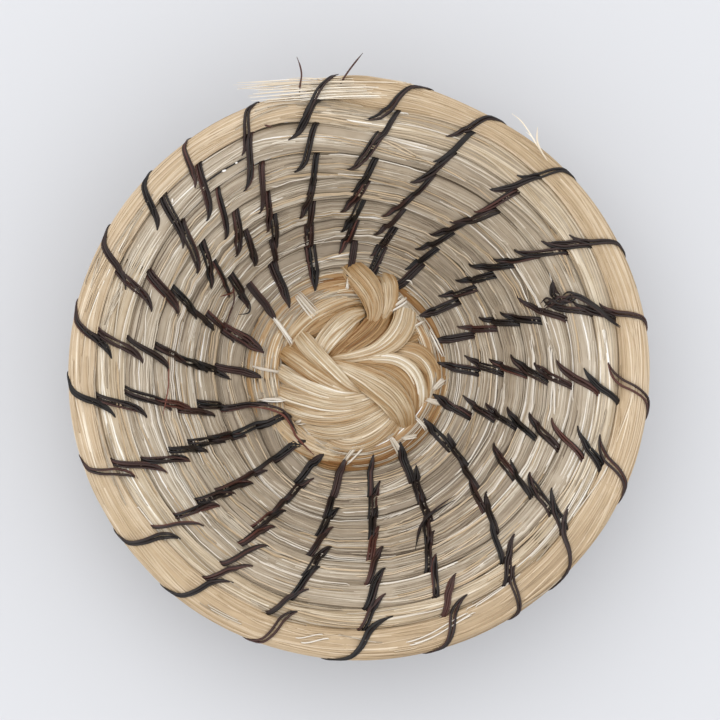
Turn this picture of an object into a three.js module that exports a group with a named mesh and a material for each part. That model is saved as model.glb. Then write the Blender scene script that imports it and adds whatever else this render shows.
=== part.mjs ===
// Coiled horsehair bowl: a knotted start, a foundation of pale hair wound outwards in a spiral, and dark
// stitching hair that overcasts each turn of it. Millimetres, +Z up, with the origin on the flat underside
// of the knot. Bearings are in degrees, anticlockwise from +X as seen from above.
import * as THREE from 'three';

// Foundation of the wall
const bundleWidth = 2.7; // along the wall, where the wall holds its full number of rows
const bundleThickness = 2.6; // through the wall
const rowGap = 0.5; // between neighbouring rows
const wallRows = 8; // rows from the start ring to the rim
const ringRadius = 9.75; // middle of the start ring
const baseLift = 0.7; // the rows hang this far above what the knot stands on

// Wall shape, measured along the wall from the middle of the start ring
const baseFlat = 2;
const baseBend = 6;
const rimBend = 6;
const rimFlat = 3.6;
const wallSlope = 52; // degrees above level
const rimSlope = 15;

// Where the foundation leaves the knot, where it ends at the rim, and where fresh hair is spliced in
const startBearing = 200;
const startSpan = 60; // degrees over which the next row climbs past the start
const endBearing = 85;
const endSpan = 30;
const thinnestEnd = 0.5; // width of the wedge at either end
const spliceGap = 0.3;
const stepsPerTurn = 24;
const sectionSides = 6;

// Stitching hair
const stitchHairWidth = 0.44;
const stitchHairThickness = 0.2;
const faceClearance = 0.35; // between a stitch and the face of the bundle that it crosses
const rimSlant = 6.5; // degrees of bearing that a stitch leans by on the inner face, at the rim
const baseSlant = 9; // and beside the start ring
const ringSlant = 6;
const faceStart = 0.25; // share of a stitch's lean that is used up where it reaches the flat face

// Bearing of each rib of stitches at the rim and at the base, and the share of the wall that it starts at
const ribs = [
  [8.3, 17, 0], [22.4, 35, 0], [42.2, 58, 0], [60.8, 74, 0], [76.8, 91, 0], [95.8, 108, 0],
  [111.8, 126, 0], [127.8, 136, 0.3], [137.4, 148, 0], [151.8, 164, 0], [168.1, 181, 0],
  [182, 202, 0], [198.2, 216, 0], [214.6, 235, 0], [229, 252, 0], [248.2, 269, 0],
  [264.8, 285, 0], [284.6, 304, 0], [301.6, 326, 0], [312.8, 333, 0.45], [333.9, 343, 0],
  [351.2, 362, 0],
];
const ringTies = [268, 302, 322, 341, 394, 415, 483, 506, 541]; // bearings along the ring, from its start

// Knot
const knotClearance = 0.5; // between the knot and the ring
const knotHeight = 4.3;
const knotBelly = 1.7; // height of its widest level
const knotFoot = 6.2; // radius of the flat that it stands on
const knotLobes = 5;
const knotLobeDepth = 0.45;
const knotTwist = 150; // degrees that a lobe sweeps from the edge to the middle
const knotSteps = 40;

// Loose hair
const looseHair = 0.22; // thickness
const looseSides = 4;
const looseSeat = 0.3; // clearance where a loose hair leaves the rim

const pitch = bundleWidth + rowGap;
const wallLength = wallRows * pitch;
const halfThickness = bundleThickness / 2;
const ringHeight = baseLift + halfThickness;
const knotRadius = ringRadius - bundleWidth / 2 - knotClearance;
const turnsToEnd = wallRows + wrap(endBearing - startBearing) / 360;

const hair = {
  golden: new THREE.MeshStandardMaterial({ color: 0xcfae78, roughness: 0.45, metalness: 0 }),
  pale: new THREE.MeshStandardMaterial({ color: 0xbfb39b, roughness: 0.45, metalness: 0 }),
  blond: new THREE.MeshStandardMaterial({ color: 0xdcc294, roughness: 0.45, metalness: 0 }),
  white: new THREE.MeshStandardMaterial({ color: 0xe8e0cc, roughness: 0.4, metalness: 0 }),
  dark: new THREE.MeshStandardMaterial({ color: 0x241d20, roughness: 0.35, metalness: 0 }),
};

function wrap(degrees) {
  return ((degrees % 360) + 360) % 360;
}

function smooth(share) {
  const x = Math.min(Math.max(share, 0), 1);
  return x * x * (3 - 2 * x);
}

function slopeAt(along) {
  const wallStart = baseFlat + baseBend;
  const rimStart = wallLength - rimFlat - rimBend;
  const rise = Math.min(Math.max((along - baseFlat) / baseBend, 0), 1);
  const fall = Math.min(Math.max((along - Math.max(rimStart, wallStart)) / rimBend, 0), 1);
  return THREE.MathUtils.degToRad(wallSlope * rise - (wallSlope - rimSlope) * fall);
}

// Radius and height of the middle of the wall, by adding up its slope in short steps
function wallPoint(along) {
  const steps = 96;
  const length = along / steps;
  let radius = ringRadius;
  let height = ringHeight;
  for (let i = 0; i < steps; i += 1) {
    const slope = slopeAt((i + 0.5) * length);
    radius += Math.cos(slope) * length;
    height += Math.sin(slope) * length;
  }
  return { radius, height, slope: slopeAt(along) };
}

// Share of a turn past a bearing, which eases back from one instead of jumping to nought there
function easedShare(bearing, from, span) {
  const past = wrap(bearing - from);
  return past / 360 + 1 - smooth(past / span);
}

// One place on the foundation. At any bearing the rows are spread evenly between the ring and the rim,
// which both stay round, and the first and last hair are squeezed to a wedge beside the next row.
function foundationAt(turn) {
  const bearing = startBearing + turn * 360;
  const innermost = easedShare(bearing, startBearing, startSpan);
  const outermost = turnsToEnd - 1 + easedShare(bearing, endBearing, endSpan);
  const rowPitch = wallLength / (outermost - innermost);
  const even = (turn - innermost) * rowPitch;
  const squeeze = Math.max(-even, even - wallLength, 0);
  const along = even < 0 ? even / 2 : Math.min(even, (even + wallLength) / 2);
  const { radius, height, slope } = wallPoint(along);
  const angle = THREE.MathUtils.degToRad(bearing);
  const outwards = new THREE.Vector3(Math.cos(angle), Math.sin(angle), 0);
  const upwards = new THREE.Vector3(0, 0, 1);
  return {
    centre: outwards.clone().multiplyScalar(radius).addScaledVector(upwards, height),
    across: outwards.clone().multiplyScalar(Math.cos(slope)).addScaledVector(upwards, Math.sin(slope)),
    inward: outwards.clone().multiplyScalar(-Math.sin(slope)).addScaledVector(upwards, Math.cos(slope)),
    halfWidth: (rowPitch - squeeze - rowGap) / 2,
    along,
  };
}

// Corner of the six-sided section, grown sideways and through the wall. Corners 0 and 3 point at the
// next rows, and its flats lie on the inner and outer face.
function sectionCorner(place, corner, sideways, through) {
  const flatToCorner = Math.cos(Math.PI / sectionSides);
  const angle = (corner * 2 * Math.PI) / sectionSides;
  return place.centre
    .clone()
    .addScaledVector(place.across, (place.halfWidth + sideways) * Math.cos(angle))
    .addScaledVector(place.inward, ((halfThickness + through) / flatToCorner) * Math.sin(angle));
}

// Closed tube through rings of points that all have the same number of corners
function tube(rings) {
  const sides = rings[0].length;
  const last = rings.length - 1;
  const index = [];
  for (let i = 0; i < last; i += 1) {
    for (let j = 0; j < sides; j += 1) {
      const a = i * sides + j;
      const b = i * sides + ((j + 1) % sides);
      index.push(a, b, b + sides, a, b + sides, a + sides);
    }
  }
  for (let j = 1; j < sides - 1; j += 1) {
    index.push(0, j + 1, j);
    index.push(last * sides, last * sides + j, last * sides + j + 1);
  }
  const geometry = new THREE.BufferGeometry().setFromPoints(rings.flat());
  geometry.setIndex(index);
  return geometry;
}

// Whole steps of the coil between two turns, with the two turns themselves at its ends
function coilTurns(from, to) {
  const turns = [from];
  const shortest = 0.3 / stepsPerTurn;
  for (let step = Math.ceil(from * stepsPerTurn); step < to * stepsPerTurn; step += 1) {
    const turn = step / stepsPerTurn;
    if (turn - from > shortest && to - turn > shortest) {
      turns.push(turn);
    }
  }
  turns.push(to);
  return turns;
}

// The straight stretch of foundation that holds a turn, so that stitches follow its flats
function onCoil(turn, corner, sideways, through) {
  const low = Math.floor(turn * stepsPerTurn) / stepsPerTurn;
  const share = (turn - low) * stepsPerTurn;
  const first = sectionCorner(foundationAt(low), corner, sideways, through);
  const second = sectionCorner(foundationAt(low + 1 / stepsPerTurn), corner, sideways, through);
  return first.lerp(second, share);
}

function foundation(from, to) {
  const rings = coilTurns(from, to).map((turn) => {
    const ring = [];
    for (let corner = 0; corner < sectionSides; corner += 1) {
      ring.push(onCoil(turn, corner, 0, 0));
    }
    return ring.reverse();
  });
  return tube(rings);
}

// First or last turn at which the wedge is thick enough to be a piece of hair
function wedgeTurn(from, direction) {
  let turn = from;
  while (foundationAt(turn).halfWidth * 2 < thinnestEnd) {
    turn += direction / 720;
  }
  return turn;
}

function leastGap(from, to) {
  const samples = coilTurns(from, to).map((turn) => {
    const points = [];
    for (let corner = 0; corner < sectionSides; corner += 1) {
      const here = onCoil(turn, corner, 0, 0);
      points.push(here, here.clone().lerp(onCoil(turn, (corner + 1) % sectionSides, 0, 0), 0.5));
    }
    return { turn, points };
  });
  let least = Infinity;
  for (const one of samples) {
    for (const other of samples.filter((sample) => sample.turn - one.turn > 0.5)) {
      for (const a of one.points) {
        for (const b of other.points) {
          least = Math.min(least, a.distanceTo(b));
        }
      }
    }
  }
  return least;
}

// Flat hair along a path. Its breadth lies along the coil, and its thickness points out of the bundle.
function flatHair(path, width, thickness) {
  const rings = path.map((point, i) => {
    const before = path[Math.max(i - 1, 0)];
    const after = path[Math.min(i + 1, path.length - 1)];
    const ahead = after.clone().sub(before).normalize();
    const breadth = new THREE.Vector3(-point.y, point.x, 0).normalize();
    breadth.addScaledVector(ahead, -breadth.dot(ahead)).normalize();
    const out = ahead.clone().cross(breadth);
    return [
      point.clone().addScaledVector(breadth, width / 2),
      point.clone().addScaledVector(out, thickness / 2),
      point.clone().addScaledVector(breadth, -width / 2),
      point.clone().addScaledVector(out, -thickness / 2),
    ];
  });
  return tube(rings);
}

// Overcasting: over the outer edge, leaning across the inner face, through the gap inside the row, and
// back along the outer face to the next stitch
function overcast(stitches) {
  const sideways = rowGap / 2;
  const through = faceClearance + stitchHairThickness / 2;
  const path = [];
  stitches.forEach(({ turn, lean }, i) => {
    const inner = turn + lean;
    path.push(onCoil(turn, 0, sideways, through));
    path.push(onCoil(turn + lean * faceStart, 1, sideways, through));
    path.push(onCoil(inner - lean * faceStart, 2, sideways, through));
    path.push(onCoil(inner, 3, sideways, through));
    if (i < stitches.length - 1) {
      const behind = stitches[i + 1].turn - inner;
      path.push(onCoil(inner + behind * faceStart, 4, sideways, through));
      path.push(onCoil(inner + behind * (1 - faceStart), 5, sideways, through));
    }
  });
  return flatHair(path, stitchHairWidth, stitchHairThickness);
}

// Every dark stitch in the order that it was sewn, by its place along the foundation
function darkStitches() {
  const stitches = [];
  for (let pass = 0; pass <= wallRows + 1; pass += 1) {
    for (const [atRim, atBase, first] of ribs) {
      const level = (pass + (atRim - startBearing) / 360 - 1) / (turnsToEnd - 1);
      const bearing = atBase + (atRim - atBase) * Math.min(Math.max(level, 0), 1);
      const turn = pass + (bearing - startBearing) / 360;
      const slant = baseSlant + (rimSlant - baseSlant) * level;
      if (turn > 0.99 && turn < turnsToEnd + 0.035 && level >= first) {
        stitches.push({ turn, lean: slant / 360 });
      }
    }
  }
  return stitches.sort((a, b) => a.turn - b.turn);
}

// Round hair along a smooth curve through a few points
function looseStrand(points, steps) {
  const curve = new THREE.CatmullRomCurve3(points);
  const frames = curve.computeFrenetFrames(steps);
  const rings = frames.tangents.map((tangent, i) => {
    const middle = curve.getPointAt(i / steps);
    const ring = [];
    for (let side = 0; side < looseSides; side += 1) {
      const angle = (side * 2 * Math.PI) / looseSides;
      const aside = frames.normals[i].clone().multiplyScalar(Math.cos(angle));
      aside.addScaledVector(frames.binormals[i], Math.sin(angle));
      ring.push(middle.clone().addScaledVector(aside, looseHair / 2));
    }
    return ring;
  });
  return tube(rings);
}

// Loose end that leaves the rim's outer edge at a bearing and runs out, around and up
function looseEnd(bearing, out, around, up) {
  const past = wrap(bearing - endBearing) / 360;
  const turn = turnsToEnd + past < coilEnd ? turnsToEnd + past : turnsToEnd - 1 + past;
  const root = onCoil(turn, 0, looseSeat + looseHair / 2, 0);
  const outwards = new THREE.Vector3(root.x, root.y, 0).normalize();
  const sidewards = new THREE.Vector3(-outwards.y, outwards.x, 0);
  const tip = root.clone();
  tip.addScaledVector(outwards, out);
  tip.addScaledVector(sidewards, around);
  tip.z += up;
  const middle = root.clone().lerp(tip, 0.5);
  middle.addScaledVector(outwards, out * 0.1);
  middle.z += up * 0.15;
  return looseStrand([root, middle, tip], 6);
}

// Knotted hank: a low dome whose lobes sweep from the edge to the middle, with a flat underside
function knot() {
  const shoulder = 6;
  const dome = 7;
  const outline = [[knotFoot, 0]];
  for (let i = 1; i <= shoulder; i += 1) {
    const angle = (i / shoulder - 1) * (Math.PI / 2);
    const reach = knotFoot + (knotRadius - knotFoot) * Math.cos(angle);
    outline.push([reach, knotBelly + knotBelly * Math.sin(angle)]);
  }
  for (let i = 1; i < dome; i += 1) {
    const angle = (i / dome) * (Math.PI / 2);
    outline.push([knotRadius * Math.cos(angle), knotBelly + (knotHeight - knotBelly) * Math.sin(angle)]);
  }
  const points = [new THREE.Vector3(0, 0, 0)];
  outline.forEach(([radius, height]) => {
    for (let step = 0; step < knotSteps; step += 1) {
      const angle = (step / knotSteps) * 2 * Math.PI;
      const inwards = 1 - radius / knotRadius;
      const sweep = THREE.MathUtils.degToRad(knotTwist) * inwards;
      const lobes = Math.cos(knotLobes * (angle + sweep / knotLobes));
      const raised = height > knotBelly ? Math.sin(Math.PI * Math.min(inwards * 1.3, 1)) : 0;
      const lift = knotLobeDepth * raised * lobes;
      points.push(new THREE.Vector3(radius * Math.cos(angle), radius * Math.sin(angle), height + lift));
    }
  });
  points.push(new THREE.Vector3(0, 0, knotHeight));
  const index = [];
  const top = points.length - 1;
  const lastRing = 1 + (outline.length - 1) * knotSteps;
  for (let step = 0; step < knotSteps; step += 1) {
    const next = (step + 1) % knotSteps;
    index.push(0, 1 + next, 1 + step);
    index.push(top, lastRing + step, lastRing + next);
    for (let ring = 0; ring < outline.length - 1; ring += 1) {
      const a = 1 + ring * knotSteps + step;
      const b = 1 + ring * knotSteps + next;
      index.push(a, b, b + knotSteps, a, b + knotSteps, a + knotSteps);
    }
  }
  const geometry = new THREE.BufferGeometry().setFromPoints(points);
  geometry.setIndex(index);
  return geometry;
}

const bowl = new THREE.Group();

function add(name, geometry, material) {
  const mesh = new THREE.Mesh(geometry, material);
  mesh.name = name;
  bowl.add(mesh);
}

// Knot and foundation, with fresh hair spliced in after the ring and for the rim
const halfSplice = (turn) => spliceGap / 2 / (2 * Math.PI * wallPoint(foundationAt(turn).along).radius);
const ringSplice = 1 - 1 / stepsPerTurn;
const rimSplice = turnsToEnd - 1 + 1 / stepsPerTurn;
const coilStart = wedgeTurn(0.5 / 360, 1);
const coilEnd = wedgeTurn(turnsToEnd + (endSpan - 1) / 360, -1);
add('start_knot', knot(), hair.golden);
add('start_ring', foundation(coilStart, ringSplice - halfSplice(ringSplice)), hair.golden);
add(
  'wall_coil',
  foundation(ringSplice + halfSplice(ringSplice), rimSplice - halfSplice(rimSplice)),
  hair.pale,
);
add('rim_coil', foundation(rimSplice + halfSplice(rimSplice), coilEnd), hair.blond);
console.log(`least gap of the foundation to itself: ${leastGap(coilStart, coilEnd).toFixed(3)} mm`);

// White hair ties the ring to the knot
const ties = ringTies.map((bearing) => ({
  turn: (bearing - startBearing) / 360,
  lean: ringSlant / 360,
}));
add('ring_stitching', overcast(ties), hair.white);

// One length of dark hair sews one turn
const sewn = darkStitches();
for (let turn = 1; turn <= wallRows; turn += 1) {
  const last = turn === wallRows ? Infinity : turn + 1;
  const stitches = sewn.filter((stitch) => stitch.turn > turn - 0.02 && stitch.turn <= last - 0.02);
  add(`stitching_turn_${turn}`, overcast(stitches), hair.dark);
}

// Loose ends at the rim
add('dark_end_1', looseEnd(102, 3, 0.6, 0.8), hair.dark);
add('dark_end_2', looseEnd(91, 3, -1.6, 1), hair.dark);
add('pale_end_1', looseEnd(57, 3.4, 0.4, 0.6), hair.white);
add('pale_end_2', looseEnd(52, 2, 0.9, 0.3), hair.white);

export default bowl;
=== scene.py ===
"""Looks of a small coiled horsehair bowl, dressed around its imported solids.

Lengths are in metres in the frame of the solids: the bowl stands on z = 0 with its knot at the origin.
Bearings are degrees anticlockwise from +X. A turn is a place along the foundation, counted from where
the foundation leaves the knot, and a section angle is a place round its bundle: 0 faces the next row
out, 90 the inside of the bowl, 180 the row inside it and -90 the outside of the bowl.
"""

from types import SimpleNamespace

import bpy
import numpy as np
from mathutils import Matrix, Vector


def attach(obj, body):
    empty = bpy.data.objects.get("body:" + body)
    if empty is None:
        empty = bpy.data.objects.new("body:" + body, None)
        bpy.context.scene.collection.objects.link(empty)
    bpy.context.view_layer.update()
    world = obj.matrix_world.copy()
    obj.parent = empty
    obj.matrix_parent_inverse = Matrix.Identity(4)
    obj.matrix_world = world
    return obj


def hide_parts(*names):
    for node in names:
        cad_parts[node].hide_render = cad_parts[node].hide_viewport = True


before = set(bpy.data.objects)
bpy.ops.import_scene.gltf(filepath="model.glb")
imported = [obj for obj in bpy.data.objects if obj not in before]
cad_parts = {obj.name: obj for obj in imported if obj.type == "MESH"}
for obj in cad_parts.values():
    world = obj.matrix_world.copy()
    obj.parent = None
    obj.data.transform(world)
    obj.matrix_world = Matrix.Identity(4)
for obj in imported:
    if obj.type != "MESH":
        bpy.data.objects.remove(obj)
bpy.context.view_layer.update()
MM = 0.001
UPWARDS = (0.0, 0.0, 1.0)

# Foundation, with the sizes of the solids
BUNDLE_WIDTH = 2.7 * MM
BUNDLE_THICKNESS = 2.6 * MM
ROW_GAP = 0.5 * MM
WALL_ROWS = 8
RING_RADIUS = 9.75 * MM
BASE_LIFT = 0.7 * MM
BASE_FLAT = 2 * MM
BASE_BEND = 6 * MM
RIM_BEND = 6 * MM
RIM_FLAT = 3.6 * MM
WALL_SLOPE = 52.0
RIM_SLOPE = 15.0
START_BEARING = 200.0
START_SPAN = 60.0
END_BEARING = 85.0
PITCH = BUNDLE_WIDTH + ROW_GAP
WALL_LENGTH = WALL_ROWS * PITCH
TURNS_TO_END = WALL_ROWS + ((END_BEARING - START_BEARING) % 360.0) / 360.0
SPLICE_SHIFT = 1.0 / 24  # turns from a whole turn to where one hair takes over from another
RING_SPLICE = 1.0 - SPLICE_SHIFT
RIM_SPLICE = TURNS_TO_END - 1 + SPLICE_SHIFT

# How the hair differs from the solids: rows press into each other, where the solids keep a gap
ROW_OVERLAP = 0.2 * MM
LEAST_WIDTH = 0.3 * MM  # of the foundation where it is squeezed to a wedge
COIL_START = 24.0 / 360
COIL_END = TURNS_TO_END + 19.0 / 360
# Rows make way for the end of the rim over these degrees, at the rim and near the base. The end stands
# out by its bulge, which grows and fades, and loses a share of its thickness: each of the three eases
# from a number of turns past the end over a number of turns
END_SPAN, BASE_END_SPAN = 24.0, 110.0
END_BULGE = 1.1 * MM
END_THINNING = 0.75
END_EASINGS = ((-0.06, 0.08), (0.025, 0.035), (0, 0.045))
OUT_OF_ROUND = 0.008  # the bowl is this share wider along x and narrower along y
ROW_DRIFT = (1.1 * MM, -0.2 * MM)  # rows lie this much further out half way up and a quarter of the way up
# The rim row is wider by these mm at these bearings, at the next row's cost, and the outline stays. For a
# millimetre more, rows at these shares of the wall move along it and widen by these shares of it
RIM_WIDENING = ((0, 20, 40, 60, 85, 110, 127, 183, 200, 217, 360),
                (0.75, 0.5, 0, -0.4, -0.2, -0.4, -0.4, -0.3, 0, 0.7, 0.75))
RIM_SHIFT = ((0.6, 0.75, 0.875, 1.0), (0, -0.15, -0.65, -0.5), (0, -0.1, -0.7, 1.0))
FACE_FLATNESS = 0.68  # 1 for an elliptic bundle, less for a flatter face
PALE_RADIUS = 0.11 * MM
FINE_RADIUS = 0.08 * MM
DARK_RADIUS = 0.135 * MM
PINCH = 0.12  # share that a stitch draws the bundle in by
PINCH_REACH = 0.7 * MM

# Each rib of stitches: its bearing at the rim, the degrees that its rim stitch leans by, the share of the
# wall that it starts at, and its bearings at even levels from the base to the second row
RIBS = (
    (8.9, 6.5, 0, (15.4, 17.5, 17.5, 16.6, 13.5)), (24.4, 8, 0, (33.5, 34.7, 35.7, 33.2, 29.6)),
    (42.8, 8, 0, (56.9, 56, 54.7, 51.9, 48.9)), (61.1, 8.5, 0, (75.6, 73.8, 73.2, 69.5, 66.4)),
    (76.9, 11, 0, (88.4, 89.8, 89.4, 87.5, 84.3)), (96.4, 10, 0, (108.5, 106.2, 104.5, 103, 101.1)),
    (111.7, 6.5, 0, (126.9, 121.3, 117.8, 117.3, 116.4)),
    (127.1, 4.5, 0.35, (130.9, 129.9, 129.4, 129, 129.5)), (137.1, 7, 0, (140.4, 143.9, 143, 141.1, 140.6)),
    (150.7, 8.5, 0, (162.3, 160, 158, 156, 156.9)), (166.6, 8.5, 0, (178.2, 176.4, 174.2, 172, 171.9)),
    (180.6, 8, 0, (196.3, 192.2, 190.8, 186.2, 185.2)), (196.5, 7, 0, (212, 207.3, 204.2, 202.8, 200.4)),
    (212.8, 8, 0, (230, 225.8, 220.9, 217.6, 217.2)), (227, 9.5, 0, (245.1, 241.6, 237.2, 235.6, 233.8)),
    (246.5, 7.5, 0, (263, 259.2, 256, 254.4, 250.4)), (263.2, 12, 0, (280.4, 277.2, 274.1, 272.7, 271.1)),
    (283.5, 10.5, 0, (300.8, 298.1, 293.1, 289.2, 289.9)),
    (301.3, 6.5, 0, (322.7, 320, 313.2, 309.5, 305.8)),
    (312.2, 13.5, 0.45, (330.2, 328.7, 327.2, 323.8, 322.7)),
    (333.9, 10, 0, (339.2, 342, 341, 339.6, 339.7)), (351.6, 9.5, 0, (359.5, 360.2, 358, 357.4, 355.9)),
)


def smooth(x):
    """Eases from 0 to 1 with level ends: 3 x^2 - 2 x^3."""
    x = np.clip(x, 0.0, 1.0)
    return x * x * (3 - 2 * x)


def eased_share(bearing, mark, start, span):
    """Share of a turn past a mark, which eases back by one over the span instead of jumping to nought."""
    past = (bearing - start) % 360.0
    return (past + start - mark) / 360.0 + 1 - smooth(past / span)


def wall_slope(along):
    """Slope of the wall in radians: level base, even bend up, straight wall, even bend out to the rim."""
    rise = np.clip((along - BASE_FLAT) / BASE_BEND, 0, 1)
    fall = np.clip((along - (WALL_LENGTH - RIM_FLAT - RIM_BEND)) / RIM_BEND, 0, 1)
    return np.radians(WALL_SLOPE * rise - (WALL_SLOPE - RIM_SLOPE) * fall)


WALL_STEPS = 1500


def wall_table():
    """Radius and height of the middle of the wall at close steps along it, as sums of its slope."""
    along = np.linspace(-PITCH, WALL_LENGTH + 2 * PITCH, WALL_STEPS)
    step = along[1] - along[0]
    slope = wall_slope(along + step / 2)
    radius = np.concatenate([[0], np.cumsum(np.cos(slope))[:-1]]) * step
    height = np.concatenate([[0], np.cumsum(np.sin(slope))[:-1]]) * step
    radius += RING_RADIUS - np.interp(0, along, radius)
    height += BASE_LIFT + BUNDLE_THICKNESS / 2 - np.interp(0, along, height)
    return along, radius, height


WALL = wall_table()


def unit(v):
    """Vectors scaled to a length of 1."""
    return v / np.maximum(np.linalg.norm(v, axis=-1, keepdims=True), 1e-12)


def turned(radius, height, a):
    """Points or directions at a bearing of a radians."""
    return np.stack([radius * np.cos(a), radius * np.sin(a), height], -1)


def wall_frame(bearing, along):
    """Middle of the wall with its direction outwards along the wall and its normal into the bowl."""
    a = np.radians(bearing)
    radius = np.interp(along, WALL[0], WALL[1]) * (1 + OUT_OF_ROUND * np.cos(2 * a))
    height = np.interp(along, WALL[0], WALL[2])
    slope = wall_slope(along)
    out, up = np.cos(slope), np.sin(slope)
    return turned(radius, height, a), turned(out, up, a), turned(-up, out, a)


def foundation_at(turn):
    """Places on the foundation. At any bearing the rows are spread between ring and rim, evenly but for
    a sine of their height that widens the low ones and the rim row's own widening, and the first and last
    hair are squeezed to a wedge beside the next row. The end of the rim stands out by its bulge times an
    easing in and one out, and thins by another."""
    turn = np.asarray(turn, float)
    bearing = START_BEARING + turn * 360.0
    innermost = eased_share(bearing, START_BEARING, START_BEARING, START_SPAN)
    span = np.interp(turn, (1, TURNS_TO_END - 0.5), (BASE_END_SPAN, END_SPAN))
    opens = END_BEARING + (END_SPAN - span) / 2
    outermost = TURNS_TO_END - 1 + eased_share(bearing, END_BEARING, opens, span)
    pitch = WALL_LENGTH / (outermost - innermost)
    even = (turn - innermost) * pitch
    squeeze = np.maximum(np.maximum(-even, even - WALL_LENGTH), 0)
    along = np.where(even < 0, even / 2, np.minimum(even, (even + WALL_LENGTH) / 2))
    up = np.pi * np.clip(even / WALL_LENGTH, 0, 1)
    once, twice = ROW_DRIFT
    along = along + once * np.sin(up) + twice * np.sin(2 * up)
    pitch = pitch + np.pi * pitch / WALL_LENGTH * (once * np.cos(up) + 2 * twice * np.cos(2 * up))
    widening = np.interp(bearing % 360.0, *RIM_WIDENING) * MM
    level, shift, growth = RIM_SHIFT
    along = along + widening * np.interp(even / WALL_LENGTH, level, shift)
    pitch = pitch + widening * np.interp(even / WALL_LENGTH, level, growth)
    centre, across, inward = wall_frame(bearing, along)
    half = np.maximum(pitch - squeeze + ROW_OVERLAP + np.minimum(squeeze, LEAST_WIDTH), LEAST_WIDTH) / 2
    grown, faded, thinned = (smooth((turn - TURNS_TO_END - past) / turns) for past, turns in END_EASINGS)
    bulge = grown * (1 - faded) * END_BULGE / 2
    centre = centre + bulge[..., None] * across
    thick = BUNDLE_THICKNESS * (1 - END_THINNING * thinned)
    return SimpleNamespace(centre=centre, across=across, inward=inward, half=half + bulge, thick=thick,
                           along=along)


FIRST_SEWN = 0.99  # turn from which the ribs are sewn
STITCH_NUDGE = 0.5  # spread of a wall stitch's bearing in degrees
STITCH_LEAN = (7.5, 1.3)  # lean of a wall stitch in degrees, and its spread


def dark_stitches():
    """Every dark stitch in sewing order, as (turn, lean in turns, share of a rim stitch). Below its rim
    stitch a rib runs through its bearings, which stand at even levels between base and second row."""
    rng = np.random.default_rng(3)
    rows = []
    for at_rim, rim_lean, first, below in RIBS:
        rim = np.floor(TURNS_TO_END - (at_rim - START_BEARING) / 360.0)
        base = np.ceil(FIRST_SEWN - (below[0] - START_BEARING) / 360.0)
        rows.append((rim + (at_rim - START_BEARING) / 360.0, rim_lean / 360.0, 1.0))
        for sewn in np.arange(base, rim):
            level = (sewn - base) / (rim - 1 - base)
            if level >= first:
                bearing = np.interp(level * (len(below) - 1), np.arange(len(below)), below)
                bearing = bearing + rng.normal(0, STITCH_NUDGE)
                lean = rng.normal(*STITCH_LEAN)
                rows.append((sewn + (bearing - START_BEARING) / 360.0, lean / 360.0, 0.0))
    return np.array(sorted(rows))


STITCHES = dark_stitches()

# Shares of its lean at which a stitch crosses the middle of its row and bites the row inside
CROSSES, BITES = 0.2, 1.0


def pinch_at(turn):
    """One, less a dip at each stitch: the bundle is drawn in where its own stitch crosses its middle and
    where the next row's stitch bites its edge. The dip is a bell, exp(-x^2) of the distance over its
    reach."""
    middles = np.sort(np.concatenate([STITCHES[:, 0] + STITCHES[:, 1] * CROSSES,
                                      STITCHES[:, 0] - 1 + STITCHES[:, 1] * BITES]))
    nearest = np.clip(np.searchsorted(middles, turn), 1, len(middles) - 1)
    gap = np.minimum(np.abs(turn - middles[nearest - 1]), np.abs(middles[nearest] - turn))
    radius = np.interp(foundation_at(turn).along, WALL[0], WALL[1])
    return 1 - PINCH * np.exp(-((gap * 2 * np.pi * radius / PINCH_REACH) ** 2))


def on_bundle(turn, angle, lift):
    """Point round the bundle at a section angle in degrees, lifted off its surface: half the width times
    the cosine across the row, and half the thickness times the sine to a power below one through the
    wall, which flattens the face. Stitches pinch the thickness."""
    row = foundation_at(turn)
    a = np.radians(angle)
    sideways = (row.half + lift) * np.cos(a)
    flat = np.sign(np.sin(a)) * np.abs(np.sin(a)) ** FACE_FLATNESS
    through = (row.thick / 2 * pinch_at(turn) + lift) * flat
    return row.centre + sideways[..., None] * row.across + through[..., None] * row.inward


def even_angles(count):
    """Section angles in degrees that stand evenly spaced round the outline of the bundle."""
    a = np.radians(np.linspace(0, 360, 2001))
    x = PITCH / 2 * np.cos(a)
    y = BUNDLE_THICKNESS / 2 * np.sign(np.sin(a)) * np.abs(np.sin(a)) ** FACE_FLATNESS
    run = np.concatenate([[0], np.cumsum(np.hypot(np.diff(x), np.diff(y)))])
    return np.degrees(np.interp(np.arange(count) / count * run[-1], run, a))


def drift(rng, count, where, spacing):
    """Smooth noise of unit spread for each strand: random values every spacing, eased between."""
    x = (where - where.min()) / spacing
    i = x.astype(int)
    knots = rng.normal(size=(count, i.max() + 2))
    f = smooth(x - i)
    return knots[:, i] * (1 - f) + knots[:, i + 1] * f


def add_object(name, data):
    """New object in the scene."""
    made = bpy.data.objects.new(name, data)
    bpy.context.scene.collection.objects.link(made)
    return made


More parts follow.
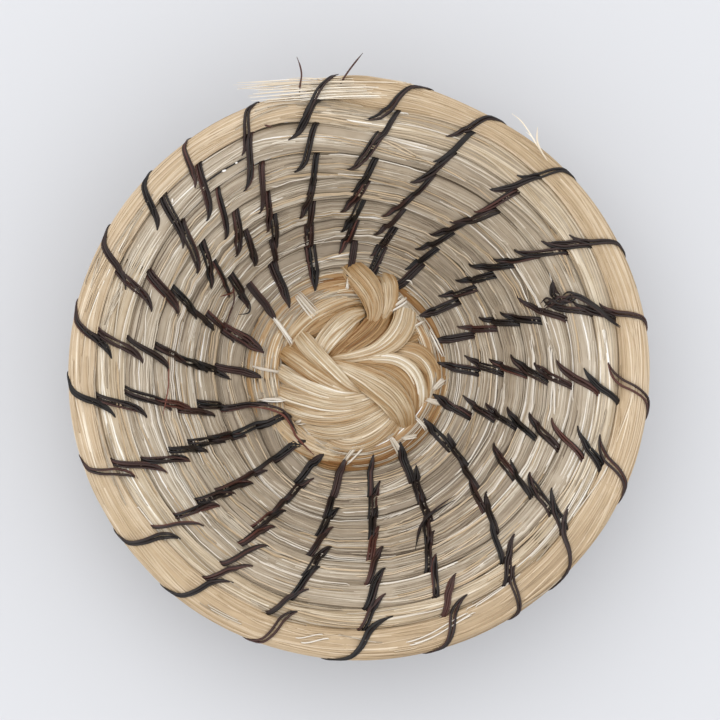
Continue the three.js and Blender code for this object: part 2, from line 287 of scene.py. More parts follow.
def closed_mesh(name, points, quads, ends, uv, tone):
    """Object of the quads and the flat ends, with its UV map and a tone at each point."""
    mesh = bpy.data.meshes.new(name)
    mesh.vertices.add(points.size // 3)
    mesh.vertices.foreach_set("co", points.astype(np.float32).ravel())
    loops = np.concatenate([quads.ravel(), ends.ravel()])
    mesh.loops.add(len(loops))
    mesh.loops.foreach_set("vertex_index", loops.astype(np.int32))
    starts = np.concatenate([np.arange(len(quads)) * 4, quads.size + np.arange(len(ends)) * ends.shape[1]])
    mesh.polygons.add(len(starts))
    mesh.polygons.foreach_set("loop_start", starts.astype(np.int32))
    mesh.polygons.foreach_set("use_smooth", np.ones(len(starts), bool))
    mesh.uv_layers.new(name="OFBake").data.foreach_set("uv", uv.astype(np.float32).ravel())
    shade = mesh.attributes.new("tone", "FLOAT", "POINT")
    shade.data.foreach_set("value", tone.astype(np.float32).ravel())
    mesh.update()
    mesh.validate()
    return add_object(name, mesh)


UV_STRIP = 0.9  # share of its band of the UV map that a strand fills


def strand_mesh(name, paths, radii, tone, sides=4):
    """Closed tubes along paths, all in one mesh: a ring of points round each place, turned about the
    path, joined by quads, with a flat end at each side. paths is strands by places by 3, and radii and
    tone fit strands by places. The UV map lays each strand out as one strip."""
    paths = np.asarray(paths, float)
    count, places, _ = paths.shape
    radii = np.broadcast_to(radii, (count, places))
    tone = np.broadcast_to(tone, (count, places))
    ahead = unit(np.gradient(paths, axis=1))
    side = unit(np.cross(ahead, UPWARDS) + 1e-6)
    up = np.cross(side, ahead)
    turnings = (np.arange(sides) + 0.5) * 2 * np.pi / sides
    ring = np.cos(turnings)[:, None] * side[:, :, None] + np.sin(turnings)[:, None] * up[:, :, None]
    points = paths[:, :, None] + radii[:, :, None, None] * ring
    s, p, k = np.meshgrid(np.arange(count), np.arange(places - 1), np.arange(sides), indexing="ij")
    here = (s * places + p) * sides
    nxt = (k + 1) % sides
    quads = np.stack([here + k, here + nxt, here + sides + nxt, here + sides + k], -1).reshape(-1, 4)
    u0, u1 = p / (places - 1), (p + 1) / (places - 1)
    v0, v1 = (s + k / sides * UV_STRIP) / count, (s + (k + 1) / sides * UV_STRIP) / count
    quad_uv = np.stack([u0, v0, u0, v1, u1, v1, u1, v0], -1).reshape(-1, 2)
    first = np.arange(count)[:, None] * places * sides + np.arange(sides)
    ends = np.concatenate([first[:, ::-1], first + (places - 1) * sides])
    end_uv = np.stack([np.repeat((0.0, 1.0), count), np.tile(np.arange(count) / count, 2)], -1)
    uv = np.concatenate([quad_uv, np.repeat(end_uv, sides, axis=0)])
    return closed_mesh(name, points, quads, ends, uv, np.repeat(tone.ravel(), sides))


def catmull(points, steps):
    """Smooth curve through points, with steps places to each stretch (Catmull and Rom's blend)."""
    padded = np.concatenate([points[:1], points, points[-1:]])
    t = (np.arange(steps) / steps)[None, :, None]
    a, b, c, d = (padded[i:len(padded) - 3 + i][:, None] for i in range(4))
    curve = 0.5 * (2 * b + (c - a) * t + (2 * a - 5 * b + 4 * c - d) * t ** 2
                   + (3 * b - a - 3 * c + d) * t ** 3)
    return np.concatenate([curve.reshape(-1, points.shape[1]), points[-1:]])


def colour(red, green, blue):
    """Linear colour for a colour as it looks on a screen, from 0 to 255."""
    c = np.array([red, green, blue]) / 255.0
    return tuple(np.where(c <= 0.04045, c / 12.92, ((c + 0.055) / 1.055) ** 2.4)) + (1.0,)


# Fine noise in the hair's colour, how it moves the roughness, and its bump
NOISE_SCALE, NOISE_DETAIL = 900.0, 3.0
GLOSSIEST, DULLEST = -0.08, 0.1
BUMP_STRENGTH, BUMP_HEIGHT = 0.15, 0.03 * MM


def hair_material(name, stops, roughness=0.42, grain=0.14, specular=0.5):
    """Hair: the strand's tone picks a colour between the stops, which are (tone, red, green, blue), fine
    noise varies it along the hair and moves the gloss, and a faint bump breaks the highlight."""
    material = bpy.data.materials.new(name)
    material.use_nodes = True
    tree = material.node_tree

    def feed(node, values):
        """Links each input of a node to another node's output, or sets it to a number."""
        for key, value in values.items():
            if isinstance(value, bpy.types.NodeSocket):
                tree.links.new(value, node.inputs[key])
            else:
                node.inputs[key].default_value = value
        return node

    def new(kind, values):
        """New node with its inputs fed."""
        return feed(tree.nodes.new(f"ShaderNode{kind}"), values)

    tone = new("Attribute", {})
    tone.attribute_name = "tone"
    place = new("TexCoord", {}).outputs["Object"]
    fine = new("TexNoise", {"Vector": place, "Scale": NOISE_SCALE, "Detail": NOISE_DETAIL}).outputs["Fac"]
    spread = new("Math", {0: fine, 1: grain, 2: tone.outputs["Fac"]})
    spread.operation = "MULTIPLY_ADD"
    shift = new("Math", {0: spread.outputs["Value"], 1: grain / 2})
    shift.operation = "SUBTRACT"
    ramp = new("ValToRGB", {"Fac": shift.outputs["Value"]})
    elements = ramp.color_ramp.elements
    stops = [(position, colour(*shade)) for position, *shade in stops]
    elements[0].position, elements[0].color = stops[0]
    elements[1].position, elements[1].color = stops[-1]
    for position, shade in stops[1:-1]:
        elements.new(position).color = shade
    gloss = new("MapRange", {"Value": fine, "To Min": roughness + GLOSSIEST, "To Max": roughness + DULLEST})
    bump = new("Bump", {"Strength": BUMP_STRENGTH, "Distance": BUMP_HEIGHT, "Height": fine})
    feed(tree.nodes["Principled BSDF"], {
        "Base Color": ramp.outputs["Color"], "Roughness": gloss.outputs["Result"],
        "Normal": bump.outputs["Normal"], "Specular IOR Level": specular})
    return material


# Looks, each a material and the slot that it fills
PALE = hair_material("pale_hair", (
    (0.0, 104, 88, 70), (0.35, 163, 147, 125), (0.65, 205, 193, 174), (0.85, 228, 221, 209),
    (1.0, 243, 240, 236))), "pale_hair"
BLOND = hair_material("blond_hair", (
    (0.0, 132, 109, 80), (0.35, 184, 160, 127), (0.65, 213, 194, 167), (0.85, 234, 222, 201),
    (1.0, 250, 245, 236))), "blond_hair"
SOFT_BLOND = hair_material("soft_blond_hair", (
    (0.0, 118, 99, 74), (0.35, 175, 155, 126), (0.65, 210, 195, 171), (0.85, 231, 222, 205),
    (1.0, 246, 242, 235))), "blond_hair"
GOLDEN = hair_material("golden_hair", (
    (0.0, 128, 84, 32), (0.3, 173, 138, 93), (0.6, 208, 189, 159), (0.82, 234, 223, 203),
    (1.0, 252, 248, 242))), "golden_hair"
WHITE = hair_material("white_hair", (
    (0.0, 186, 171, 150), (0.4, 214, 203, 187), (0.7, 232, 226, 216), (1.0, 246, 243, 240)),
    0.34, 0.1), "white_hair"
DARK = hair_material("dark_hair", (
    (0.0, 15, 13, 12), (0.35, 31, 22, 19), (0.6, 54, 34, 29), (0.85, 84, 47, 38), (1.0, 114, 62, 48)),
    0.42, 0.12, 0.38), "dark_hair"


def dress(piece, look, *nodes):
    """Gives a finished piece its material and its place in the frame, and hides the solids that it stands
    for.
    """
    material, slot = look
    piece.data.materials.append(material)
    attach(piece, "root")
    for node in nodes:
        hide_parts(node)


def run_along(path):
    """Length along a path at each of its points."""
    return np.concatenate([[0], np.cumsum(np.linalg.norm(np.diff(path, axis=0), axis=1))])


def run_lengths(turn):
    """Length along the middle of the foundation at each place."""
    return run_along(foundation_at(turn).centre)


def locks(rng, count, where, spacing, each=5):
    """Drift shared by neighbours: drift of one strand in each so many, eased between them round the
    bundle."""
    leaders = drift(rng, max(count // each, 2), where, spacing)
    place = np.arange(count) / count * len(leaders)
    i = place.astype(int)
    f = smooth(place - i)[:, None]
    return leaders[i] * (1 - f) + leaders[(i + 1) % len(leaders)] * f


HAIRS_ROUND = 54
HAIR_STEP = 1.1 * MM
# Painted shade: how much darker the hair is, by bearing, by bearing on the rim besides, and by turn
SHADE_ROUND = ((0, 55, 110, 190, 245, 310, 360), (0.04, 0.16, 0.07, 0.03, 0.09, 0.12, 0.04))
RIM_SHADE = ((0, 60, 120, 180, 240, 300, 360), (0.05, 0.03, 0.05, -0.02, 0.08, 0.12, 0.05))
SHADE_UP = ((0.0, 0.35, 0.5, 0.66, 0.8, 1.0, 1.5, 3.0, 5.0, 7.5, 8),
            (0.15, 0.18, 0.25, 0.22, 0.11, 0.2, 0.22, 0.15, 0.08, 0.03, 0.05))
RIM_SHADE_PAST, RIM_SHADE_TURNS = -1.1, 0.3  # turns past the end where it sets in, turns that it takes


def painted_wall_shade(turn):
    """Painted shade: how much darker the hair is, most towards the base, where the bowl is deepest, more on
    the lengths that lie below and to the upper right in the bowl than on the rest, and differently round
    the rim."""
    bearing = (START_BEARING + turn * 360.0) % 360.0
    on_rim = smooth((turn - TURNS_TO_END - RIM_SHADE_PAST) / RIM_SHADE_TURNS)
    around = np.interp(bearing, *SHADE_ROUND) + np.interp(bearing, *RIM_SHADE) * on_rim
    return around + np.interp(turn, *SHADE_UP)


# Drifts of a bundle's hairs as (amount, mm that it changes over) and for some the number of neighbours
# that share it: degrees round the bundle, rise off it, tone, and pale streaks, which are pale hairs with
# painted sheen, where theirs is over a mark
SWAYS, RISE = ((10, 11, 5), (9, 12), (3, 5)), (0.03 * MM, 6)
TONES, PALE_AND_SHEEN_STREAKS, PALE_AND_SHEEN_OVER, PALE_AND_SHEEN_TONE = ((0.15, 13, 3), (0.08, 9)), (1, 14), 0.8, 0.36
ANGLE_SPREAD = 1.5
SUNK = 1.15  # radii of a hair that it lies below the bundle's surface
# Painted shade: the groove tone and the table after it darken hair near a row's edges, in the grooves
# between the lower rows
HAIR_TONE, GROOVE_SHADE_TONE = 0.63, 0.19
GROOVE_SHADE_BY_TURN = (5.8, 6.8), (1.0, 0.2)  # at these turns the grooves are darker by these shares of that
THINNEST, THICKEST = 0.75, 1.2
END_REACH, END_RADIUS, END_DEPTH = 2 * MM, 0.15, 0.15 * MM  # how a hair thins and sinks at its ends


def drifts(rng, run, start, *rows):
    """The start with drifts of a bundle's hairs added, each a row of the tables above."""
    for amount, spacing, *shared in rows:
        kind = locks if shared else drift
        start = start + amount * kind(rng, HAIRS_ROUND, run, spacing * MM, *shared)
    return start


def bundle(name, start, end, seed, ragged, varied=1.0):
    """Hairs side by side round the foundation from one turn to another. Each keeps its section angle
    with a slow and a quick drift, so neighbours cross at a slant. Their ends lie up to the ragged mm
    apart. The hair carries painted shade: it is darker by a fourth power of the angle's cosine, so in
    the grooves between the lower rows."""
    rng = np.random.default_rng(seed)
    length = run_lengths(np.linspace(start, end, 2000))[-1]
    turn = np.linspace(start, end, int(length / HAIR_STEP))
    run = run_lengths(turn)
    base = even_angles(HAIRS_ROUND) + rng.uniform(-ANGLE_SPREAD, ANGLE_SPREAD, HAIRS_ROUND)
    angle = drifts(rng, run, base[:, None], *SWAYS)
    lift = drifts(rng, run, -PALE_RADIUS * SUNK, RISE)
    mixed = drifts(rng, run, 0, *TONES)
    # Pale streaks: pale hairs with painted sheen
    mixed = mixed + PALE_AND_SHEEN_TONE * smooth(drifts(rng, run, 0, PALE_AND_SHEEN_STREAKS) - PALE_AND_SHEEN_OVER)
    # Painted shade: darker in the grooves between rows, towards the base and by bearing
    groove_shade = np.cos(np.radians(angle)) ** 4 * np.interp(turn, *GROOVE_SHADE_BY_TURN)
    tone = HAIR_TONE - painted_wall_shade(turn) + varied * mixed - GROOVE_SHADE_TONE * groove_shade
    radii = PALE_RADIUS * rng.uniform(THINNEST, THICKEST, (HAIRS_ROUND, 1))
    first = rng.uniform(0, ragged, (HAIRS_ROUND, 1)) * MM
    last = run[-1] - rng.uniform(0, ragged, (HAIRS_ROUND, 1)) * MM
    inside = smooth((run - first) / END_REACH) * smooth((last - run) / END_REACH)
    radii = radii * (END_RADIUS + (1 - END_RADIUS) * inside)
    lift = lift - END_DEPTH * (1 - inside)
    return strand_mesh(name, on_bundle(np.broadcast_to(turn, angle.shape), angle, lift), radii, tone)


BODY_STEP = 1.3 * MM
BODY_SIDES = 20
BODY_DEPTH, BODY_SUNK = 0.11 * MM, 0.3 * MM  # below the bundle's surface, and more at the very start
BODY_TONE, BODY_GRAIN = 0.52, 0.03


def core(name, start, end, seed, rises_over=0.5 * MM):
    """Body of the bundle beneath its hairs: one tube through sections, which rises out of the depth over
    the first stretch of it."""
    rng = np.random.default_rng(seed)
    length = run_lengths(np.linspace(start, end, 1000))[-1]
    turn = np.linspace(start, end, int(length / BODY_STEP))
    angle = np.arange(BODY_SIDES) * 360.0 / BODY_SIDES
    turns, angles = np.meshgrid(turn, angle, indexing="ij")
    risen = smooth(run_lengths(turn) / rises_over)[:, None]
    points = on_bundle(turns, angles, -BODY_DEPTH - BODY_SUNK * (1 - risen))
    # Its tone carries the same painted shade as the hair on the bundle
    return skin(name, points, BODY_TONE - painted_wall_shade(turns) + BODY_GRAIN * rng.normal(size=turns.shape))


def skin(name, rings, tone):
    """Closed surface through rings of points, places by sides by 3, with flat ends."""
    places, sides, _ = rings.shape
    p, k = np.meshgrid(np.arange(places - 1), np.arange(sides), indexing="ij")
    nxt = (k + 1) % sides
    quads = np.stack([p * sides + k, p * sides + nxt, (p + 1) * sides + nxt, (p + 1) * sides + k], -1)
    uv = np.stack([p / places, k / sides, p / places, (k + 1) / sides,
                   (p + 1) / places, (k + 1) / sides, (p + 1) / places, k / sides], -1).reshape(-1, 2)
    ends = np.stack([np.arange(sides)[::-1], (places - 1) * sides + np.arange(sides)])
    uv = np.concatenate([uv, np.zeros((2 * sides, 2))])
    return closed_mesh(name, rings, quads.reshape(-1, 4), ends, uv, tone)


# One stitch as (row it is on, section angle, lift in mm, share of the lean, share of the way behind,
# share of the spread, section angle that the ribbon of hairs faces): over the row, into the face of the
# row inside it and back up behind
STITCH_ROUTE = (
    (0, -28, 0.08, -0.27, 0, 0.5, -20), (0, 8, 0.12, -0.21, 0, 0.85, 30), (0, 34, 0.16, -0.1, 0, 1, 60),
    (0, 76, 0.17, 0.05, 0, 1.1, 80), (0, 124, 0.18, 0.2, 0, 1.1, 90), (-1, 42, 0.2, 0.35, 0, 1.05, 90),
    (-1, 62, 0.16, 0.48, 0, 0.75, 90), (-1, 76, 0.1, 0.61, 0, 0.38, 90), (-1, 85, 0, 0.73, 0, 0.15, 100),
    (-1, 92, -0.4, 0.82, 0, 0.1, 150), (-1, 0, -1.1, 1, 0.1, 0.3, 180), (-1, -80, -0.3, 1, 0.1, 0.4, 220),
    (-1, -62, 0.1, 1, 0.16, 0.6, 260), (-1, -36, 0.16, 1, 0.24, 0.8, 270),
    (0, -140, 0.14, 1, 0.4, 0.8, 270), (0, -100, 0.12, 1, 0.6, 0.8, 270), (0, -62, 0.12, 1, 0.8, 0.7, 300),
)
# Share of the lean on the rim, where the hair lies along the edge before it turns inwards
RIM_LEAN = (-0.1, 0.1, 0.34, 0.52, 0.66, 0.76, 0.86, 0.98, 1.1, 1.2)
RIM_SPREAD = (0.15, 0.35, 0.75, 1.05, 1.2, 1.1, 0.8, 0.45, 0.15, 0.1)
THIN_END = 0.5  # share of its radius that a hair has where its stitch is drawn together
DRAWN_BELOW = 0.8  # share of the spread under which it thins
LEAST_BEHIND = 0.002  # turns that a hair takes behind the row at the least
TAIL = 0.045  # turns by which the last stitch runs on


def stitch_path(stitches):
    """Route of one hair through its stitches, over the row and through the edge of the row inside."""
    route = np.array(STITCH_ROUTE)
    parts = []
    for i, (turn, lean, on_rim) in enumerate(stitches):
        last = i == len(stitches) - 1
        after = turn + TAIL if last else stitches[i + 1][0]
        part = route[:len(RIM_LEAN)].copy() if last else route.copy()
        if on_rim:
            part[:len(RIM_LEAN), 3] = RIM_LEAN
            part[:len(RIM_LEAN), 5] = RIM_SPREAD
        behind = max(after - turn - lean, LEAST_BEHIND)
        part[:, 0] += turn + lean * part[:, 3] + behind * part[:, 4]
        parts.append(part)
    return np.concatenate(parts).T


STRAND_APART = 0.42  # radians from one pair of hairs to the next in a stitch of two strands
SEW_HEIGHT = 0.45  # height of a stitch's hairs over their width
SEW_STEPS = 3
WIDTH_DRIFT, TWIST_DRIFT, PHASE_SPREAD = 0.3, 0.6, 0.2
SEW_TONE, LENGTH_TONE, SINGLE_TONE, SEW_LIMIT = 0.4, 0.15, 0.17, 0.84


def sew(name, stitches, seed, hairs, spread_mm, in_strands=False):
    """Lengths of dark hair through the same stitches, twisted half round each other in every stitch: hair
    i lies spread times the cosine of its phase beside the middle and nearly half the sine of it above.
    They are widest over the middle of a row and draw together where they enter the wall. On the rim they
    lie in two strands, and elsewhere they fill the width."""
    rng = np.random.default_rng(seed)
    apart = STRAND_APART if in_strands else 2 * np.pi / hairs
    turn, angle, lift, _, _, spread, facing = stitch_path(stitches)
    middle = on_bundle(turn, angle, lift * MM)
    row = foundation_at(turn)
    facing = np.radians(facing)[:, None]
    above = np.cos(facing) * row.across + np.sin(facing) * row.inward
    beside = unit(np.cross(above, unit(np.gradient(middle, axis=0))))
    place = np.arange(len(turn)) * 1.0
    stitch = len(STITCH_ROUTE)
    wide = spread * spread_mm * MM * (1 + WIDTH_DRIFT * drift(rng, 1, place, stitch / 2)[0])
    twist = place / stitch * np.pi * (not in_strands) + TWIST_DRIFT * drift(rng, 1, place, 6.0)[0]
    paths = []
    for hair in range(hairs):
        phase = twist + hair * np.pi + (hair // 2) * apart + PHASE_SPREAD * rng.normal()
        aside = (wide * np.cos(phase))[:, None] * beside
        over = (SEW_HEIGHT * wide * np.sin(phase))[:, None] * above
        paths.append(catmull(middle + aside + over, SEW_STEPS))
    paths = np.array(paths)
    where = np.arange(paths.shape[1]) * 1.0
    tone = SEW_TONE + LENGTH_TONE * drift(rng, 1, where, 3.0 * stitch)
    tone = np.minimum(tone + SINGLE_TONE * drift(rng, hairs, where, 30.0), SEW_LIMIT)
    drawn = np.interp(where / SEW_STEPS, place, spread)
    radii = DARK_RADIUS * (THIN_END + (1 - THIN_END) * smooth(drawn / DRAWN_BELOW))
    return strand_mesh(name, paths, radii, tone, sides=5)


STRAY_PLACES = 90
STRAY_LENGTH = (0.06, 0.26)  # turns at the second turn, and fewer further out
STRAY_ANGLES, STRAY_SLIDE, STRAY_LIMITS = (25, 155), (-40, 40), (12, 168)
TURNS_APART, DEGREES_APART = 0.008, 4  # spread of the hairs that run together
STRAY_LIFT, STRAY_DRIFT, STRAY_DEPTH = 0.05 * MM, 0.02 * MM, 0.3 * MM  # the depth is at its ends
STRAY_TONE, TONE_ADDED = 0.26, 0.34


def stray_hairs(name, count, seed, earliest=1.0, latest=TURNS_TO_END - 0.3):
    """Hairs that run over the inside of the wall, singly or in twos and threes: each keeps to one bundle
    for up to 0.3 of a turn, less towards the rim, while its section angle slides across the face."""
    rng = np.random.default_rng(seed)
    t = np.linspace(0, 1, STRAY_PLACES)[None]
    start = rng.uniform(earliest, latest, (count, 1))
    span = rng.uniform(*STRAY_LENGTH, (count, 1)) * (10 - start) / 8
    first = rng.uniform(*STRAY_ANGLES, (count, 1))
    last = first + rng.uniform(*STRAY_SLIDE, (count, 1))
    together = rng.integers(1, 4, count)
    start, span, first, last = (np.repeat(v, together, 0) for v in (start, span, first, last))
    count = len(start)
    start = start + rng.normal(0, TURNS_APART, (count, 1))
    turn = np.minimum(start + span * t, TURNS_TO_END - 0.05)
    aside = rng.normal(0, DEGREES_APART, (count, 1))
    angle = np.clip(first + (last - first) * smooth(t) + aside, *STRAY_LIMITS)
    ends = smooth(np.minimum(t, 1 - t) / 0.08)
    lift = STRAY_LIFT + STRAY_DRIFT * drift(rng, count, t[0], 0.3) - STRAY_DEPTH * (1 - ends)
    radii = FINE_RADIUS * rng.uniform(0.75, 1.25, (count, 1)) * (0.4 + 0.6 * ends)
    radii = radii * np.interp(start, (1, 4), (0.7, 1.0))
    tone = STRAY_TONE + TONE_ADDED * rng.random((count, 1))
    return strand_mesh(name, on_bundle(turn, angle, lift), radii, tone)


LAP = 0.03  # turns by which one length of hair overlaps the next
RING_LAP = 0.09  # at the ring, where a turn is short
BLOND_FROM, BLOND_TO = RIM_SPLICE - 0.85, RIM_SPLICE - 0.4  # the wall's body is soft blond between them
RING_RISE = 9 * MM


def foundation_pieces():
    """The golden ring, the pale wall in four lengths and two of soft blond hair, and the blond rim."""
    cuts = [*np.linspace(RING_SPLICE, BLOND_FROM, 5), BLOND_TO, RIM_SPLICE]
    dress(core("ring_body", COIL_START, RING_SPLICE, 11, RING_RISE), GOLDEN, "start_ring")
    dress(bundle("ring_hair", COIL_START, RING_SPLICE + RING_LAP, 12, 3, 1.5), GOLDEN, "start_ring")
    dress(core("wall_body", RING_SPLICE, BLOND_FROM, 13), PALE, "wall_coil")
    dress(core("wall_blond_body", BLOND_FROM, BLOND_TO, 14), SOFT_BLOND, "wall_coil")
    dress(core("wall_end_body", BLOND_TO, RIM_SPLICE, 17), PALE, "wall_coil")
    for i, (cut, next_cut) in enumerate(zip(cuts, cuts[1:])):
        start = cut - (LAP if i else RING_LAP)
        ragged, look = (9, SOFT_BLOND) if cut >= BLOND_FROM else (3, PALE)
        dress(bundle(f"wall_hair_{i + 1}", start, next_cut + LAP, 20 + i, ragged), look, "wall_coil")
    dress(stray_hairs("stray_blond_hair", 110, 33), BLOND, "wall_coil")
    dress(stray_hairs("ring_pale_hair", 44, 34, 0.08, 0.8), PALE, "start_ring")
    dress(stray_hairs("stray_white_hair", 52, 31), WHITE, "wall_coil")
    dress(stray_hairs("stray_pale_hair", 110, 32), PALE, "wall_coil")
    dress(core("rim_body", RIM_SPLICE, COIL_END, 15), BLOND, "rim_coil")
    dress(bundle("rim_hair", RIM_SPLICE - LAP, COIL_END, 16, 5, 0.7), BLOND, "rim_coil")


# Hairs to a stitch and their spread in mm: on the first turn, up the wall and on the rim
BASE_SEWING, WALL_SEWING, RIM_SEWING = (7, 0.35), (5, 0.29), (6, 0.22)
SEWN_EARLY = 0.02  # turns before its whole turn at which a length of dark hair takes over


def stitching_pieces():
    """Dark stitching, one piece for each turn that is sewn: more hairs to a stitch near the base."""
    for turn in range(1, WALL_ROWS + 1):
        on_rim = turn == WALL_ROWS
        last = np.inf if on_rim else turn + 1 - SEWN_EARLY
        own = STITCHES[(STITCHES[:, 0] > turn - SEWN_EARLY) & (STITCHES[:, 0] <= last)]
        hairs, spread = BASE_SEWING if turn == 1 else RIM_SEWING if on_rim else WALL_SEWING
        piece = sew(f"dark_stitches_{turn}", own, 40 + turn, hairs, spread, on_rim)
        dress(piece, DARK, f"stitching_turn_{turn}")


def resample(curve, places):
    """The curve's first three columns are a path: all columns at even steps along its length."""
    run = run_along(curve[:, :3])
    even = np.linspace(0, run[-1], places)
    return np.stack([np.interp(even, run, column) for column in curve.T], -1)


